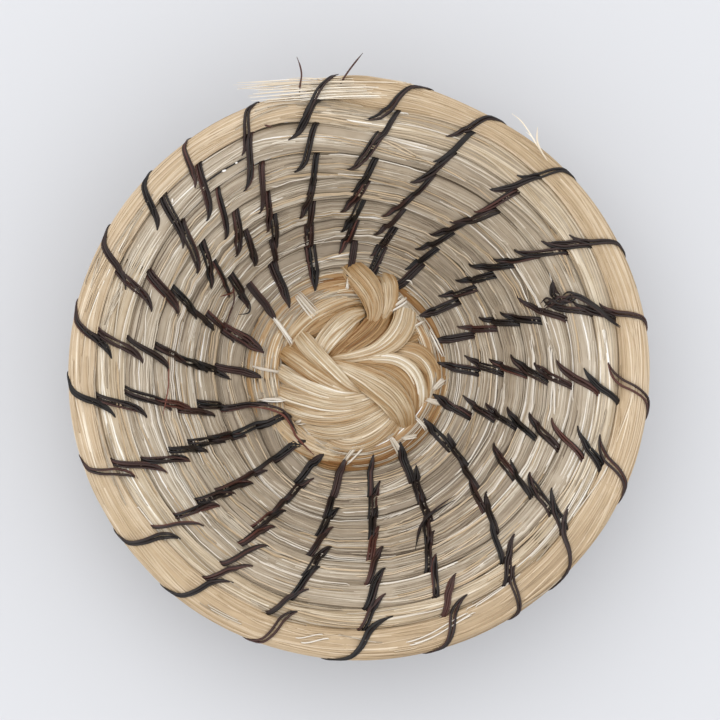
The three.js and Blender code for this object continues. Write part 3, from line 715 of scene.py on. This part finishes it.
# Hanks of the knot from the lowest to the highest: name, share of gold, then places along its middle
# as (x, y, height, width) in mm
HANKS = (
    ("hollow_right", 1.2, ((4.4, 6.9, 2, 2.3), (3.2, 5.1, 2.6, 3.2), (1.5, 3.4, 2.8, 3.3),
        (-0.6, 2, 2.7, 2.6), (-2.1, 1.3, 2.4, 1.4))),
    ("hollow_left", 1, ((1.1, 5.3, 2.4, 1.7), (-0.3, 3.9, 2.8, 2.2), (-1.8, 2.5, 2.9, 1.9),
        (-2.8, 1.5, 2.6, 1.3))),
    ("ring_root", 0.3, ((-7.6, -1.5, 2.1, 1.6), (-8.4, -3.4, 2.45, 2.1), (-8.2, -5.3, 2.65, 2.4),
        (-6.8, -7, 2.7, 2.6), (-4.7, -8.4, 2.7, 2.6), (-2, -9.3, 2.6, 2.3), (1, -9.7, 2.2, 1.4))),
    ("right_fill", 0.65, ((3, 1.2, 3, 1.5), (5, 0.9, 3.1, 2.2), (6.8, -0.3, 3, 2.6), (7.9, -2, 2.8, 2.6),
        (8, -4, 2.4, 2.2), (7.4, -5.8, 1.9, 1.6))),
    ("low_gold", 0.75, ((0.5, -8.3, 1.7, 1.3), (2.4, -8.1, 2.2, 2.2), (4.2, -7.3, 2.5, 2.4),
        (5.4, -5.9, 2.6, 2), (5.8, -4.4, 2.4, 1.3))),
    ("outer_right", 0.55, ((4, 2.2, 2.9, 1.1), (5.8, 2.2, 3.1, 2.3), (7.7, 1.5, 3.1, 2.9),
        (9, -0.1, 2.8, 2.7), (9.3, -2.3, 2.5, 2.4), (8.8, -4.3, 2.2, 2.2), (7.8, -6, 1.8, 1.7))),
    ("upper_left", 0.5, ((2, 8.1, 1.8, 1.5), (-0.4, 7.9, 2.4, 2.4), (-2.7, 7, 2.6, 2.9),
        (-4.7, 5.6, 2.6, 2.9), (-6.4, 3.8, 2.5, 2.4), (-7.4, 1.9, 2, 1.7))),
    ("top_right", 0.45, ((3.3, 5, 2.3, 0.5), (3.9, 6.2, 3, 1), (4.4, 7.6, 3.3, 1.6), (4.5, 8.9, 3.4, 1.8),
        (4.4, 9.9, 3.2, 1.8), (3.9, 11.1, 2.3, 1.3))),
    ("top_left", 0.6, ((2, 4.4, 2.3, 0.6), (2.6, 5.7, 3, 1.2), (2.8, 7.1, 3.3, 2.2), (2.4, 8.6, 3.5, 2.7),
        (1.5, 10, 3.5, 2.9), (0.4, 11.2, 2.9, 2.6), (-0.5, 12.1, 2, 1.8))),
    ("gold_crease", 1.1, ((-6.7, 3.9, 2.2, 1.6), (-5.2, 2.5, 3.1, 1.9), (-3.6, 1, 3.5, 1.8),
        (-2, -0.5, 3.6, 1.3), (-0.6, -1.8, 3.3, 0.8))),
    ("left_crescent", 0.1, ((1.7, 6.6, 2.4, 1), (0.2, 6.1, 3, 1.9), (-1.3, 5, 3.4, 2.5),
        (-2.6, 3.6, 3.5, 2.5), (-3.4, 2.2, 3.2, 1.9), (-3.8, 1, 2.6, 1.1))),
    ("low_outer", 0.3, ((-4.4, -6, 1.5, 1.3), (-2.6, -7.1, 2.3, 2.2), (-0.5, -7.9, 2.8, 2.7),
        (1.7, -7.4, 3, 2.9), (3.7, -6.1, 3.1, 2.6), (5, -4.6, 2.9, 1.7), (5.5, -3.1, 2.5, 1))),
    ("low_middle", 0.2, ((-6.6, -5.2, 1.7, 1.3), (-4.8, -6, 2.6, 2.1), (-2.5, -6.5, 3.1, 2.5),
        (-0.2, -6.2, 3.3, 2.6), (2, -5.3, 3.4, 2.4), (3.8, -4.2, 3.3, 1.9), (4.8, -3.1, 2.8, 1.2))),
    ("low_left", 0.3, ((-8, -3.8, 1.8, 1.5), (-6.3, -4.4, 2.7, 2.1), (-4.2, -4.9, 3.3, 2.4),
        (-2, -5, 3.6, 2.4), (0.3, -4.6, 3.7, 2.3), (2.3, -3.8, 3.6, 1.9), (3.8, -2.8, 3.1, 1.1))),
    ("low_band", 0.2, ((-8.6, -1.9, 1.9, 1.5), (-7, -2.6, 2.8, 2.1), (-5.1, -3.2, 3.4, 2.2),
        (-3, -3.7, 3.8, 2.2), (-0.8, -3.8, 3.9, 2.1), (1.2, -3.4, 3.8, 1.9), (2.8, -2.8, 3.5, 1.4),
        (3.9, -2.2, 2.9, 0.8))),
    ("left_band", 0.05, ((-8.3, 0.2, 2.1, 1.5), (-6.6, -0.8, 3.1, 2), (-4.7, -1.7, 3.7, 2.1),
        (-2.9, -2.4, 3.9, 1.8), (-1.1, -2.8, 3.9, 1.3), (0.6, -2.8, 3.6, 0.9))),
    ("gold_left", 0.6, ((-7.9, 2.5, 2.1, 1.6), (-6.2, 1.3, 3.2, 2.1), (-4.5, 0, 3.7, 2.1),
        (-2.8, -1.1, 3.9, 1.8), (-1.2, -1.9, 3.8, 1.2), (0.4, -2.5, 3.3, 0.7))),
    ("right_crescent", 0.15, ((7.4, 8.6, 1.9, 1), (6.5, 7.2, 2.6, 2.2), (6, 5.3, 3.4, 2.7),
        (4.8, 3.5, 3.8, 2.5), (2.8, 2.2, 3.8, 1.7), (0.7, 1.6, 3.6, 1.3), (-1.3, 1.3, 3.2, 0.9),
        (-2.6, 1.2, 2.8, 0.6))),
    ("sweep_fill", 0.8, ((-0.8, 0.9, 3.1, 0.9), (1.6, 0.7, 3.6, 1.7), (3.9, 0.3, 3.7, 2.2),
        (5.6, -0.7, 3.6, 2.4), (6.7, -2.2, 3.3, 2.3), (7, -4, 2.9, 1.9), (6.9, -5.7, 2.2, 1.3))),
    ("arc", -0.2, ((0.6, 1.2, 3.4, 0.8), (2.8, 1.5, 3.9, 1.1), (5, 1.3, 4, 1.3), (6.7, 0.3, 3.9, 1.4),
        (7.7, -1.3, 3.6, 1.4), (8, -3.1, 3.1, 1.2), (7.8, -4.9, 2.4, 0.9))),
    ("sweep", 0.32, ((-3, 0.8, 3, 0.7), (-1.5, 0.6, 3.6, 1.2), (0.8, -0.4, 4.1, 2.4), (2.9, -1.6, 4.3, 3.3),
        (4.7, -3.1, 4.1, 3.5), (5.9, -4.8, 3.5, 2.9), (6.4, -6.4, 2.5, 1.9))),
    ("long_hank", 0.05, ((-5.9, 4.4, 2.5, 1.5), (-4.9, 3, 3.5, 2), (-3.5, 1.4, 4, 1.9), (-2.1, 0, 4.2, 1.7),
        (-0.7, -1.3, 4.1, 1.3), (0.6, -2.1, 3.7, 0.9), (1.9, -2.6, 3.2, 0.5))),
    ("right_gap", 0.7, ((8.7, 4.5, 1.9, 1.4), (7.5, 4.1, 2.5, 2.1), (6, 3.5, 2.8, 2.2),
        (4.4, 2.9, 2.7, 1.6))),
    ("left_gap", 0.7, ((-5.4, 4.2, 2.2, 1.4), (-4.1, 4.6, 2.8, 1.8), (-2.5, 5.6, 2.9, 1.8),
        (-0.9, 6.5, 2.6, 1.3))),
)
HANK_PLACES = 40
HAIRS_PER_MM = 8.5
CROWN = 0.24  # rise of a hank over its edges as a share of its width
CROWN_LIMIT = 0.8 * MM
HANK_THINNEST, HANK_THICKEST, SHINE_THICKER = 0.85, 1.45, 0.45
# Tone of the knot: its middle, less by gold and by painted shade in creases, more by pale hairs with a
# painted highlight, and its spread and drifts
KNOT_TONE, GOLD_TONE, CREASE_SHADE_TONE, PALE_AND_HIGHLIGHT_TONE = 0.62, 0.36, 0.16, 0.24
KNOT_SPREAD, KNOT_LOCKS, KNOT_DRIFT = 0.05, 0.08, 0.06
HANK_SIDES = 14
HANK_BODY = 0.49  # half width of the body beneath the hairs as a share of the hank's width


def hank(rng, table, gold):
    """Hairs side by side over the crown of one hank: at a share v of the half width from its middle a hair
    rises by the crown times the root of 1 - v^2. Returns their paths, radii and tones, and the rings of
    the body beneath them."""
    curve = resample(catmull(np.array(table) * MM, 10), HANK_PLACES)
    middle, width = curve[:, :3], curve[:, 3]
    ahead = unit(np.gradient(middle, axis=0))
    beside = unit(np.cross(UPWARDS, ahead))
    up = np.cross(ahead, beside)
    run = np.linspace(0, 1, HANK_PLACES)
    count = int(width.max() / MM * HAIRS_PER_MM) + 4
    v = np.linspace(-1, 1, count)[:, None] + 0.06 * drift(rng, count, run, 0.3)
    v = np.clip(v + 0.05 * locks(rng, count, run, 0.4), -1, 1)
    crown = np.minimum(CROWN * width, CROWN_LIMIT)
    lift = crown * np.sqrt(1 - v ** 2) + 0.05 * MM * drift(rng, count, run, 0.3)
    paths = middle + (v * width / 2)[..., None] * beside + lift[..., None] * up
    radii = FINE_RADIUS * rng.uniform(HANK_THINNEST, HANK_THICKEST, (count, 1)) * np.ones(HANK_PLACES)
    # Painted shade: the hair darkens towards the hank's edges and ends, where it meets or passes under
    # other hanks
    crease_shade = np.maximum(v ** 2, 1 - smooth(np.minimum(run, 1 - run) / 0.3))
    # Pale hairs with a painted highlight: a few stretches of hair are thicker and lighter, less so in the
    # creases and on gold hanks
    pale_and_highlight = smooth(1.3 * drift(rng, count, run, 0.7) - 1.2)
    radii = radii * (1 + SHINE_THICKER * pale_and_highlight)
    tone = KNOT_TONE - GOLD_TONE * gold - CREASE_SHADE_TONE * crease_shade + KNOT_SPREAD * rng.normal(size=(count, 1))
    tone = tone + KNOT_LOCKS * locks(rng, count, run, 0.5, 2) + KNOT_DRIFT * drift(rng, count, run, 0.6)
    tone = tone + PALE_AND_HIGHLIGHT_TONE * pale_and_highlight * (1 - 0.5 * crease_shade) * (1 - 0.5 * max(gold, 0))
    a = np.linspace(0, 2 * np.pi, HANK_SIDES, endpoint=False)
    low = np.where(np.sin(a) < 0, 0.9, 0.93)[:, None]
    rings = (middle + (HANK_BODY * width * np.cos(a)[:, None])[..., None] * beside
             + (crown * low * np.sin(a)[:, None])[..., None] * up)
    return paths, radii, tone, rings.transpose(1, 0, 2)


# Outline of the knot's golden body, as (radius, height) in mm from its top to its foot
KNOT_DOME = ((0.3, 2.7), (2.0, 2.65), (4.0, 2.4), (6.0, 1.9), (7.6, 1.5), (8.4, 1.3), (8.2, 1.0),
             (7.0, 0.75), (4.0, 0.5), (0.3, 0.4))
DOME_SIDES = 48
DOME_TONE = 0.3
HANK_BODY_TONE, HANK_BODY_GOLD = 0.52, 0.28
# Wound hair over and under the knot: hairs, top and edge in mm, degrees of sweep
WOUND = ((110, 2.75, 1.35, 150), (180, 0.24, 0.7, -140))
WOUND_RADIUS = 1.3 * FINE_RADIUS
WOUND_TONE, WOUND_LOCKS = 0.45, 0.1


def knot_pieces():
    """The knot: a low golden body, hanks laid over each other above it and a pinwheel of hair below."""
    rng = np.random.default_rng(77)
    radius, height = (column[:, None] for column in np.array(KNOT_DOME[::-1]).T * MM)
    a = np.linspace(0, 2 * np.pi, DOME_SIDES, endpoint=False)
    rings = turned(radius, height + 0 * a, a)
    dress(skin("knot_body", rings, np.full(rings.shape[:2], DOME_TONE)), GOLDEN, "start_knot")
    hairs = []
    for name, gold, table in HANKS:
        *strands, body = hank(rng, table, gold)
        hairs.append(strands)
        tone = np.full(body.shape[:2], HANK_BODY_TONE - HANK_BODY_GOLD * gold)
        dress(skin(f"knot_{name}", body, tone), GOLDEN, "start_knot")
    dress(strand_mesh("knot_hair", *map(np.concatenate, zip(*hairs))), GOLDEN, "start_knot")
    wound = np.concatenate([wound_hair(rng, *row) for row in WOUND])
    tone = WOUND_TONE + WOUND_LOCKS * locks(rng, len(wound), np.linspace(0, 1, HANK_PLACES), 0.4)
    dress(strand_mesh("knot_wound_hair", wound, WOUND_RADIUS, tone), GOLDEN, "start_knot")


WOUND_FROM, WOUND_TO = 8.5, 1.2  # radius in mm


def wound_hair(rng, count, top, edge, sweep):
    """Hairs that spiral from the edge of the knot to near its middle: the bearing turns by the sweep as
    the radius shrinks, and the height eases from the edge's to the top's, in mm."""
    t = np.linspace(0, 1, HANK_PLACES)[None]
    radius = WOUND_FROM + (WOUND_TO - WOUND_FROM) * t + 0.25 * drift(rng, count, t[0], 0.4)
    bearing = np.arange(count)[:, None] * 360.0 / count + sweep * t ** 1.4
    height = edge + (top - edge) * np.sin(t * np.pi / 2) + 0.04 * rng.normal(size=(count, 1))
    return turned(radius, height, np.radians(bearing)) * MM


# White ties of the ring: hairs, then from (bearing, radius in mm) to (bearing, radius in mm)
RING_TIES = (
    (9, 59, 7.6, 51, 10.8), (3, 29, 10.1, 6.4, 10.8), (4, 91, 11.2, 92, 9), (11, 125, 11, 121, 6.4),
    (5, 144, 11.2, 156, 6.9), (4, 177, 11.4, 181.3, 7.9), (4, 197, 11, 205, 7.8), (4, 223, 8.7, 233, 6.6),
    (8, 266, 10.4, 280, 8), (6, 301.7, 8.6, 301.7, 11.2), (6, 325, 8.8, 322, 11.4),
    (4, 314, 12.2, 321, 12.7), (5, 339, 9, 340.5, 11.6), (6, 345.6, 9.6, 355.6, 11),
    (4, 306, 9.6, 317, 10.8), (3, 34.6, 8.4, 33.4, 10.3),
)
RING_TOP = BASE_LIFT + BUNDLE_THICKNESS
TIE_PLACES = 12
TIE_CLEAR = 0.12 * MM
RING_HALF = 1.75 * MM
INNER_FALL, OUTER_FALL = 0.1 * MM, 0.9 * MM  # fall of the ring's face from its crown to its edges
TIE_DIVE = 1.1 * MM
TIE_APART = 0.09 * MM
TIE_TONE, TIE_TONE_SPREAD = 0.3, 0.25


def tie_piece():
    """Ribbons of white hair over the ring: each runs over the ring's crown, which falls by a power of 2.5
    of the distance from it, and dives in at both ends."""
    rng = np.random.default_rng(5)
    t = np.linspace(0, 1, TIE_PLACES)
    paths, radii = [], []
    for hairs, bearing_a, radius_a, bearing_b, radius_b in RING_TIES:
        ends = [np.array((r * np.cos(np.radians(b)), r * np.sin(np.radians(b)))) * MM
                for b, r in ((bearing_a, radius_a), (bearing_b, radius_b))]
        ahead = ends[1] - ends[0]
        flat = ends[0] + ahead * t[:, None]
        radius = np.linalg.norm(flat, axis=1)
        off = np.clip(np.abs(radius - RING_RADIUS) / RING_HALF, 0, 1)
        height = RING_TOP + TIE_CLEAR - np.where(radius < RING_RADIUS, INNER_FALL, OUTER_FALL) * off ** 2.5
        height = height - TIE_DIVE * (1 - smooth(np.minimum(t, 1 - t) / 0.16))
        aside = np.array((-ahead[1], ahead[0])) / np.linalg.norm(ahead)
        middle = flat.mean(0)
        for hair in range(hairs):
            shift = (hair - (hairs - 1) / 2) * TIE_APART * (1 + 0.25 * rng.normal())
            bow = 0.1 * MM * rng.normal() * np.sin(np.pi * t)
            reach = 1 + 0.12 * rng.normal()
            xy = middle + (flat - middle) * reach + (shift * (0.7 + 0.5 * t) + bow)[:, None] * aside
            paths.append(np.concatenate([xy, height[:, None] + 0.04 * MM * rng.normal()], 1))
            radii.append(FINE_RADIUS * rng.uniform(0.9, 1.4) * (0.5 + 0.5 * np.sin(np.pi * t) ** 0.5))
    tone = TIE_TONE + TIE_TONE_SPREAD * rng.normal(size=(len(paths), 1))
    piece = strand_mesh("ring_ties", np.array(paths), np.array(radii), tone, sides=6)
    dress(piece, WHITE, "ring_stitching")


# Loose hairs on the wall: radius in mm, tone, then (bearing, radius, lift in mm) along them
WALL_STRAYS = (
    (0.17, 0.3, ((21.2, 22.8, 0.1), (22.5, 22.95, 0.5), (24.2, 23.3, 0.85), (25.9, 23.8, 1))),
    (0.17, 0.35, ((20.8, 23.2, 0.1), (22.3, 23.2, 0.5), (24, 23.5, 0.85), (25.9, 23.8, 1.05))),
    (0.15, 0.45, ((21.4, 23.6, 0.1), (22.6, 23.5, 0.5), (24.2, 23.6, 0.8), (25.8, 23.8, 1))),
    (0.15, 0.4, ((20.8, 21.5, 0.1), (21.7, 22.3, 0.3), (20.3, 23, 0.5), (20.8, 23.7, 0.4),
        (19.5, 24.2, 0.3), (20.5, 25, 0.4), (21.4, 24.4, 0.1))),
    (0.14, 0.25, ((21.5, 21.8, 0.1), (20, 22.3, 0.4), (21.2, 23.2, 0.3), (19.2, 23.7, 0.5),
        (20.1, 24.5, 0.55), (19.4, 25.1, 0.2))),
    (0.15, 0.5, ((19.6, 21.7, 0.1), (20.7, 22.6, 0.45), (19.4, 23, 0.3), (19.8, 23.9, 0.55),
        (18.5, 24.5, 0.4), (20.3, 24.6, 0.15))),
    (0.14, 0.3, ((22, 22.9, 0.1), (20.6, 23, 0.55), (19.1, 23.3, 0.45), (18.8, 24, 0.3), (19, 24.8, 0.4),
        (19.4, 25.4, 0.15))),
    (0.15, 0.6, ((18.9, 21.6, 0.1), (19.7, 22.8, 0.25), (20.9, 23.4, 0.45), (20.2, 24.2, 0.5),
        (20.9, 24.9, 0.2))),
    (0.17, 0.3, ((10.2, 28.7, 0.1), (13, 27.6, 0.3), (15.6, 26.9, 0.35), (18.9, 25.7, 0.35),
        (20.5, 25, 0.35), (21.4, 24.4, 0.25), (20.6, 23.6, 0.1))),
    (0.16, 0.5, ((10.5, 28.5, 0.1), (12.7, 27.5, 0.45), (15.2, 26.7, 0.5), (18.5, 25.5, 0.5),
        (20, 24.7, 0.45), (19.8, 23.9, 0.15))),
    (0.15, 0.2, ((10, 28.6, 0.1), (12.3, 27.7, 0.5), (15, 27, 0.6), (18.2, 25.8, 0.6), (19.7, 25.1, 0.5),
        (20.6, 24.3, 0.2))),
    (0.1, 0.3, ((116.5, 27, 0.02), (120.4, 27, 0.05), (124.3, 27, 0.02), (128.2, 27.1, 0.05),
        (132, 27.1, 0))),
    (0.11, 0.8, ((111.9, 29.4, 0.05), (111.4, 29.2, 0.2), (110.4, 28.9, 0.05))),
    (0.1, 0.9, ((144.7, 16.6, 0.15), (146.6, 16.3, 0.3), (150.7, 17.4, 0.35))),
    (0.11, 0.3, ((144.7, 16.6, 0.15), (145, 15.4, 0.3), (145.4, 14.4, 0.4), (147.3, 13.6, 0.4),
        (150.3, 13.3, 0.3), (153.3, 14.2, 0.2))),
    (0.09, 0.7, ((144.7, 16.6, 0.1), (148.5, 15.6, 0.2), (155.3, 15.1, 0.1), (161, 15, 0.05))),
    (0.12, 0.3, ((287.8, 20.8, 0.1), (291.2, 19.4, 0.25), (295.5, 18.5, 0.25), (301.7, 18.2, 0.2),
        (307.8, 18.4, 0.3))),
    (0.11, 0.5, ((288.6, 20.4, 0.1), (292.2, 19, 0.3), (297.4, 18.2, 0.25), (303.7, 18, 0.3),
        (309.1, 18.1, 0.35))),
    (0.08, 1, ((175.5, 20.9, 0.05), (178.9, 20.9, 0.12), (183.7, 21.1, 0.15), (187.9, 21.5, 0.12),
        (191.8, 22.1, 0.05))),
)
# Pale glints on the wall in the same terms
WALL_GLINTS = (
    (0.12, 0.9, ((124.9, 27.05, 0.1), (124.5, 27, 0.22), (124, 26.95, 0.1))),
    (0.09, 0.9, ((121.4, 27.05, 0.1), (121.1, 27, 0.2), (120.8, 26.95, 0.1))),
    (0.1, 0.7, ((138.3, 28, 0.1), (137.9, 28.15, 0.22), (137.5, 28.3, 0.1))),
    (0.07, 0.5, ((58, 12, 0.05), (56, 12.2, 0.2), (54, 12, 0.05))),
)
# Loose hairs over the rim and on the ring: radius, tone, then (x, y, z) in mm along them
DARK_ENDS = (
    (0.1, 0.75, ((-7, 30, 15.6), (-7, 31.4, 16.6), (-6.9, 32.5, 16.9), (-7.1, 33.5, 17),
        (-7.4, 34.5, 17.1))),
    (0.11, 0.7, ((-2.8, 31, 15.6), (-2.1, 32.4, 16.6), (-1.2, 33.7, 17), (-0.2, 34.9, 17.1))),
)
LAST_STITCH = (
    (0.15, 0.3, ((-2.9, 32.6, 15), (-3.7, 32.3, 16.5), (-5, 31.2, 17), (-5.7, 29.9, 17), (-6.2, 28.7, 16.8),
        (-6.8, 27.6, 16.4), (-7.4, 26.4, 15.6))),
    (0.14, 0.5, ((-2.6, 32.7, 14.9), (-3.4, 32.4, 16.4), (-4.5, 31.4, 17.05), (-5.2, 30.2, 17.05),
        (-5.7, 29.2, 16.85), (-6.1, 28.2, 16.5), (-6.6, 27.4, 15.8))),
    (0.15, 0.2, ((-3.2, 32.5, 15.1), (-4, 32.1, 16.5), (-5.2, 30.9, 17), (-5.8, 29.7, 16.95),
        (-6.4, 28.3, 16.7), (-7, 27.2, 16.2), (-7.5, 26, 15.4))),
)
MAROON_ENDS = (
    (0.16, 0.5, ((-11.3, -3.6, 3.5), (-9.2, -3.9, 3.8), (-7.5, -4.5, 3.9), (-6.6, -5.9, 3.8),
        (-6, -7, 3.6))),
    (0.14, 0.95, ((-11.4, -4, 3.5), (-9.4, -4.2, 3.75), (-7.7, -4.9, 3.85), (-6.8, -6, 3.7),
        (-6.2, -7.2, 3.5), (-5.6, -7.9, 3.5), (-4.1, -9.5, 3.5))),
)
PALE_ENDS = (
    (0.08, 0.85, ((20.2, 23.4, 16.2), (18.8, 25.4, 17), (17.9, 26.7, 17.1), (17.1, 27.7, 17.1),
        (16.2, 28.4, 17))),
    (0.07, 0.9, ((20, 23.8, 16.2), (18.9, 25.1, 16.9), (18.4, 25.9, 17.1), (17.7, 26.4, 17.1))),
    (0.1, 0.75, ((20.4, 23.2, 16.2), (19.5, 24.3, 16.9), (19, 25.5, 17.1), (19, 26.9, 17.1))),
)


def on_wall(table):
    """Points over the inner face of the wall, from (bearing, radius of that face in mm, lift in mm)."""
    bearing, radius, lift = table.T
    along, middle, _ = WALL
    face = middle - np.sin(wall_slope(along)) * BUNDLE_THICKNESS / 2
    centre, _, inward = wall_frame(bearing, np.interp(radius * MM, face, along))
    return centre + (BUNDLE_THICKNESS / 2 + lift * MM)[:, None] * inward


def in_air(table):
    """Points from (x, y, z) in mm."""
    return table * MM


LOOSE_PLACES = 32
LOOSE_SPREAD = 0.02 * MM
LOOSE_TIP = 0.3  # share of its radius that a loose hair has at its ends


def loose_piece(name, rows, to_points, seed, copies=1):
    """Single hairs along their rows of points, thinned towards both ends."""
    rng = np.random.default_rng(seed)
    t = np.linspace(0, 1, LOOSE_PLACES)
    ends = smooth(np.minimum(t, 1 - t) / 0.25)
    paths, radii, tones = [], [], []
    for radius, tone, table in rows:
        for _ in range(copies):
            points = to_points(np.array(table, float))
            points = points + LOOSE_SPREAD * rng.normal(size=points.shape)
            paths.append(resample(catmull(points, 10), LOOSE_PLACES))
            radii.append(radius * MM * (LOOSE_TIP + (1 - LOOSE_TIP) * ends))
            tones.append([tone])
    return strand_mesh(name, np.array(paths), np.array(radii), np.array(tones), sides=6)


# The rim's fringe in mm: where its hairs start in x, where they reach if they lie far out and if not, and
# their height
FRINGE_STARTS, FAR_REACH, NEAR_REACH, FRINGE_HEIGHT = (-7.5, 6), (-14.3, -8), (-13, -7), 16.3
FAR_OUT = 0.6  # share of the fan from which they reach further
FRINGE_TONE, FRINGE_TONE_SPREAD = 0.8, 0.12


def fringe(count, seed):
    """Ends of the rim's hair: they leave the tapering end of the rim along its tangent and fan out into
    the air. An end's share of the fan sets how far out it starts and how far it reaches."""
    rng = np.random.default_rng(seed)
    share = (np.arange(count) + rng.uniform(0, 1, count)) / count
    t = np.linspace(0, 1, LOOSE_PLACES)
    start_x = rng.uniform(*FRINGE_STARTS, count)
    start_y = 30.4 + 2.1 * share - 0.016 * start_x ** 2
    reach = np.where(share > FAR_OUT, rng.uniform(*FAR_REACH, count), rng.uniform(*NEAR_REACH, count))
    end_y = 29.6 + 2.4 * share + 0.045 * (reach + 8)
    height = FRINGE_HEIGHT + 0.12 * rng.normal(size=count)
    x = start_x[:, None] + (reach - start_x)[:, None] * t
    bow = 0.5 * (t - t ** 2) * (1 + rng.normal(size=(count, 1)))
    y = start_y[:, None] + (end_y - start_y)[:, None] * t + bow
    z = height[:, None] + (0.2 * rng.normal(size=(count, 1))) * t - 0.9 * (1 - smooth(t / 0.2))
    radii = FINE_RADIUS * rng.uniform(0.5, 0.95, (count, 1)) * (1 - 0.6 * smooth((t - 0.7) / 0.3))
    tone = FRINGE_TONE + FRINGE_TONE_SPREAD * rng.normal(size=(count, 1))
    return strand_mesh("rim_fringe", np.stack([x, y, z], -1) * MM, radii, tone)


def loose_pieces():
    """Loose ends of dark and pale hair, and the fringe where the rim's hair ends."""
    for name, rows, to_points, seed, copies, look, *nodes in (
            ("dark_wall_ends", WALL_STRAYS, on_wall, 61, 1, DARK, "stitching_turn_5"),
            ("pale_glints", WALL_GLINTS, on_wall, 62, 2, WHITE, "wall_coil"),
            ("dark_rim_ends", DARK_ENDS, in_air, 63, 1, DARK, "dark_end_1", "dark_end_2"),
            ("dark_last_stitch", LAST_STITCH, in_air, 67, 1, DARK, "stitching_turn_8"),
            ("maroon_ring_ends", MAROON_ENDS, in_air, 64, 1, DARK, "stitching_turn_1"),
            ("pale_rim_ends", PALE_ENDS, in_air, 65, 1, BLOND, "pale_end_1", "pale_end_2")):
        dress(loose_piece(name, rows, to_points, seed, copies), look, *nodes)
    dress(fringe(64, 66), BLOND, "rim_coil")


FLOOR_COLOUR, FLOOR_ROUGHNESS, FLOOR_SIZE, FLOOR_LEVEL = (206, 207, 210), 0.9, 3.0, -0.0001
LAMP_PLACE, LAMP_SIZE, LAMP_POWER = (-0.28, 0.34, 0.8), 0.9, 2.5
SKY_COLOUR, SKY_STRENGTH = (0.98, 0.985, 1.0, 1), 1.16


def stage_and_light():
    """Pale floor, a broad lamp from the upper left and an even sky."""
    bpy.ops.mesh.primitive_plane_add(size=FLOOR_SIZE, location=(0, 0, FLOOR_LEVEL))
    floor = bpy.context.object
    floor.name = "floor"
    material = bpy.data.materials.new("floor")
    material.use_nodes = True
    shader = material.node_tree.nodes["Principled BSDF"]
    shader.inputs["Base Color"].default_value = colour(*FLOOR_COLOUR)
    shader.inputs["Roughness"].default_value = FLOOR_ROUGHNESS
    floor.data.materials.append(material)
    lamp = bpy.data.lights.new("key", "AREA")
    lamp.shape = "DISK"
    lamp.size = LAMP_SIZE
    lamp.energy = LAMP_POWER
    key = add_object("key", lamp)
    key.location = LAMP_PLACE
    key.rotation_euler = (-key.location).to_track_quat("-Z", "Y").to_euler()
    world = bpy.data.worlds.new("sky")
    world.use_nodes = True
    background = world.node_tree.nodes["Background"].inputs
    background["Color"].default_value = SKY_COLOUR
    background["Strength"].default_value = SKY_STRENGTH
    bpy.context.scene.world = world
    bpy.context.scene.view_settings.view_transform = "Standard"


# The photo's frame, the rim's width in it and the pixel where the rim's centre lies
FRAME_PIXELS = 720
RIM_PIXELS = 580
RIM_CENTRE_PIXEL = (362.9, 373.8)
RIM_ACROSS = 63.4 * MM
RIM_LEVEL = 15.5 * MM
CAMERA_DISTANCE = 420 * MM
CAMERA_LEAN = (-0.117, 0.025)
SENSOR_MM = 36.0


def add_camera():
    """Camera above the bowl, a little to its left, so that the knot lies off centre in the rim."""
    data = bpy.data.cameras.new("camera")
    per_pixel = RIM_ACROSS / RIM_PIXELS
    data.sensor_width = SENSOR_MM
    data.lens = SENSOR_MM * CAMERA_DISTANCE / (FRAME_PIXELS * per_pixel)
    data.clip_start, data.clip_end = 0.01, 10.0
    camera = add_object("camera", data)
    away = Vector((CAMERA_LEAN[0], CAMERA_LEAN[1], 1)).normalized()
    right = Vector((0, 1, 0)).cross(away).normalized()
    up = away.cross(right)
    centre = Vector((0, 0, RIM_LEVEL))
    centre -= right * (RIM_CENTRE_PIXEL[0] - FRAME_PIXELS / 2) * per_pixel
    centre += up * (RIM_CENTRE_PIXEL[1] - FRAME_PIXELS / 2) * per_pixel
    turn = Matrix((right, up, away)).transposed().to_4x4()
    camera.matrix_world = Matrix.Translation(centre + away * CAMERA_DISTANCE) @ turn
    bpy.context.scene.camera = camera


add_camera()
stage_and_light()
foundation_pieces()
stitching_pieces()
knot_pieces()
tie_piece()
loose_pieces()
